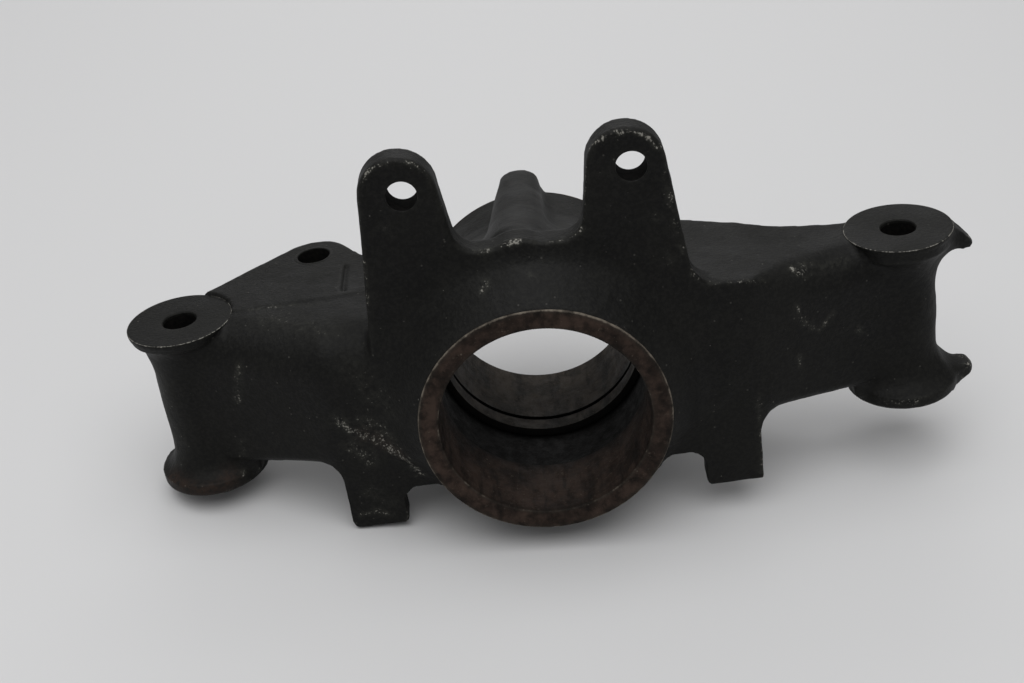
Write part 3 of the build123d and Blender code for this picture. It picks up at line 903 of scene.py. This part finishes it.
lost = weighed(tree, scuff, 0.17, edge, 0.085)
grain = weighed(tree, fine, 0.6, ragged, 0.4)
flecks = mapped(tree, joined(tree, "ADD", lost, grain), 0.665, 0.74)
sparse_dots = times(tree, dots(tree, where, 150.0, 0.045, 0.3), 0.45)
faint_dots = times(tree, dots(tree, where, 330.0, 0.14, 0.2), 0.15)
bare_share = joined(tree, "MAXIMUM", flecks, joined(tree, "MAXIMUM", sparse_dots, faint_dots))
colour = blended(tree, bare_share, colour, BARE)

rough = mapped(tree, patches, 0.3, 0.7, 0.50, 0.66)
dressed(tree, shader, colour, rough, PAINT_SPECULAR, sand, 1.0, 0.0003)
print("paint", len(tree.nodes), "nodes")

# %% [markdown]
# ## Machined iron
#
# The ring and the near seat were turned and have gone brown; the far seat still shows grey metal.  The relief
# between them is near-black, partly with old grease and partly as painted shade of the recess, and the step at
# its far end and the snap-ring groove are near-black as painted shade; real grease also runs in streaks.
# The same three amounts say how worn and how brown each place of the profile is, and noise breaks them into
# stains.

# %% Machined iron
# Near-black: real grease in the streaks and stains, and painted shade in the relief, its step and the groove.
GREASE_AND_SHADE = (0.0025, 0.0024, 0.0022)
SEAT_GREY = (0.070, 0.062, 0.051)
SEAT_BROWN = (0.048, 0.032, 0.025)
RIM_BRIGHT = (0.15, 0.13, 0.105)
IRON_SPECULAR = 0.07

bare, tree, shader = new_material("machined_iron")
where = own_place(tree)
stains = weighed(tree, cloud(tree, where, 70.0, 6.0, 0.65), 0.6, cloud(tree, where, 240.0, 4.0, 0.7), 0.4)
fine = cloud(tree, where, 1100.0, 4.0, 0.7)
ragged = cloud(tree, where, 260.0, 5.0, 0.7)
drawn_out = node(tree, "ShaderNodeMapping", Scale=(1.0, 0.22, 1.0))
tree.links.new(where, drawn_out.inputs["Vector"])
streaks = cloud(tree, drawn_out.outputs["Vector"], 210.0, 4.0, 0.6)
edge, scuff, rust = (amount_of(tree, name) for name in ("edge", "scuff", "rust"))

stained = mapped(tree, stains, 0.40, 0.60, 0.35, 1.0)
# Rows with no scuff stay near-black here: painted shade in the relief, its step and the groove.
colour = blended(tree, times(tree, scuff, stained), GREASE_AND_SHADE, SEAT_GREY)
colour = blended(tree, times(tree, rust, stained), colour, SEAT_BROWN)
uneven = weighed(tree, ragged, 0.5, stains, 0.5)
worn_edge = mapped(tree, joined(tree, "ADD", times(tree, edge, 0.28), uneven), 0.66, 0.82)
colour = blended(tree, worn_edge, colour, RIM_BRIGHT)
colour = blended(tree, times(tree, mapped(tree, streaks, 0.45, 0.66), 0.6), colour, GREASE_AND_SHADE)

flecks = mapped(tree, weighed(tree, fine, 0.65, ragged, 0.35), 0.56, 0.70)
handled = times(tree, joined(tree, "MAXIMUM", rust, scuff), 0.55)
colour = blended(tree, times(tree, flecks, handled), colour, RIM_BRIGHT)
colour = blended(tree, times(tree, dots(tree, where, 170.0, 0.08, 0.3), 0.35), colour, RIM_BRIGHT)

rough = mapped(tree, ragged, 0.3, 0.7, 0.48, 0.70)
pits = weighed(tree, fine, 0.5, ragged, 0.5)
dressed(tree, shader, colour, rough, IRON_SPECULAR, pits, 0.5, 0.0004)
print("iron", len(tree.nodes), "nodes")

# %% [markdown]
# ## Inside the drilled holes
#
# A deep hole collects dirt and lets little light out.  The renderer darkens it by itself only so far, so
# the walls get a darker, duller black of their own: some dirt, but mostly painted shade.

# %% Hole material
hole_dirt_and_shade, tree, shader = new_material("hole_dirt_and_shade")
dirt_and_shade_mottle = mapped(tree, cloud(tree, own_place(tree), 600.0), 0.35, 0.65)
# Two near-blacks for the hole walls: some dirt, but mostly painted shade of the deep hole.
colour = blended(tree, dirt_and_shade_mottle, (0.003, 0.003, 0.003), (0.007, 0.0065, 0.006))
tree.links.new(colour, shader.inputs["Base Color"])
shader.inputs["Roughness"].default_value = 0.9
shader.inputs["Specular IOR Level"].default_value = 0.04
print("hole", len(tree.nodes), "nodes")

# %% [markdown]
# ## Handing out the materials
#
# Only the wall of a hole is dark, with painted shade and some dirt; the face round it is painted like the rest.
# Selecting the wall by hand would not survive a change of size, so a face counts as wall when all four of its
# corners are within reach of the hole's axis.

# %% Materials on the pieces
WALL_REACH, EAR_WALL_REACH = 6.05, 5.2


def darken_walls(lining, axes, reach):
    """Paint the lining, and give its faces within reach of the hole's axis the dark material: painted shade with
    some dirt.
    """
    lining.data.materials.append(paint)
    lining.data.materials.append(hole_dirt_and_shade)
    places = net_arrays(lining.data)[0]
    middle = (places[:, axes].max(axis=0) + places[:, axes].min(axis=0)) / 2
    within = from_axis(places, middle, axes) < reach
    corners = np.empty(len(lining.data.loops), dtype=np.int32)
    lining.data.loops.foreach_get("vertex_index", corners)
    walls = within[corners.reshape(-1, 4)].all(axis=1)
    lining.data.polygons.foreach_set("material_index", walls.astype(np.int32))


casting.data.materials.append(paint)
hub_lining.data.materials.append(bare)
for lining in (left_boss_lining, right_boss_lining, eye_lining):
    darken_walls(lining, (0, 1), WALL_REACH)
for lining in ear_linings:
    darken_walls(lining, (0, 2), EAR_WALL_REACH)
print("materials", [material.name for material in bpy.data.materials])

# %% [markdown]
# ## Card under the part
#
# The part stands on white card: on the collar under the hub, the far end of the hub and one foot, so it
# leans.  It keeps its own upright place here, and the card is tilted to meet it instead.

# %% Card
CARD_SLOPE_X, CARD_SLOPE_Y = -0.0843, 0.109
CARD_CORNERS = ((-4, -3), (4, -3), (4, 6), (-4, 6))
CARD_WHITE = (0.62, 0.62, 0.625, 1)

lean = np.array((-CARD_SLOPE_X, -CARD_SLOPE_Y, 1.0))
touching = (casting, hub_lining, left_boss_lining)
card_height = min((net_arrays(thing.data)[0] @ lean).min() for thing in touching) * MM
card_points = [(x, y, card_height + CARD_SLOPE_X * x + CARD_SLOPE_Y * y) for x, y in CARD_CORNERS]
card_mesh = bpy.data.meshes.new("card")
card_mesh.from_pydata(card_points, [], [(0, 1, 2, 3)])
card = bpy.data.objects.new("card", card_mesh)
bpy.context.scene.collection.objects.link(card)

white_card, tree, shader = new_material("white_card")
shader.inputs["Base Color"].default_value = CARD_WHITE
shader.inputs["Roughness"].default_value = 0.6
card_mesh.materials.append(white_card)
print("card height", round(card_height, 5))

# %% [markdown]
# ## Finish
#
# All seven pieces are one casting, so they ride on the same body, and the solid that they stand in for is
# hidden.

# %% Finish
pieces = (casting, hub_lining, left_boss_lining, right_boss_lining, eye_lining, *ear_linings)
for piece in pieces:
    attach(piece, "root")
    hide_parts("knuckle")
